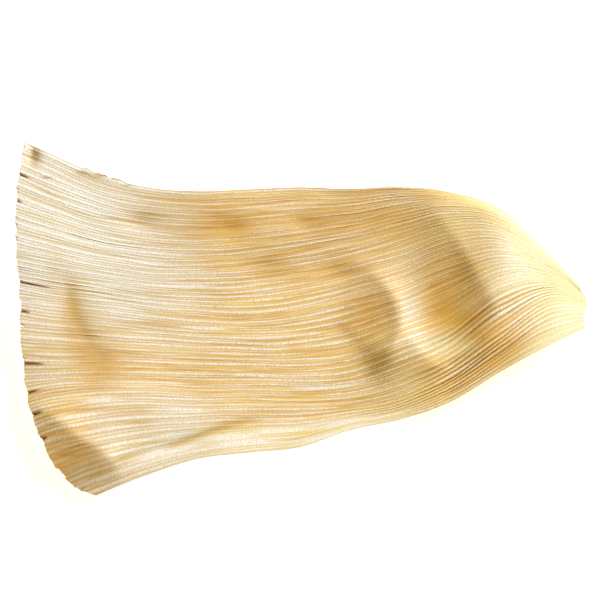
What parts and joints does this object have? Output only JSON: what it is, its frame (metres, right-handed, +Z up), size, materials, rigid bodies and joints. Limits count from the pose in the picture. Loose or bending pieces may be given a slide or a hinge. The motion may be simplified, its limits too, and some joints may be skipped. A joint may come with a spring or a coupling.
{
  "type": "dried corn husk",
  "caption": "Single dried corn husk, ribbed and papery, flared at its cut wide end and arched near its narrow end, lying on a surface.",
  "frame": {"origin": "on the surface the husk lies on, under the middle of its length and width", "axes": "+X along the ribs towards the narrow end, +Y across the husk towards its back edge, +Z up"},
  "size_m": [0.1999, 0.1339, 0.0184],
  "materials": {
    "dry_husk": "satin, straw-coloured, with raised parallel ribs"
  },
  "bodies": {
    "root": {"husk": "dry_husk"}
  },
  "joints": []
}
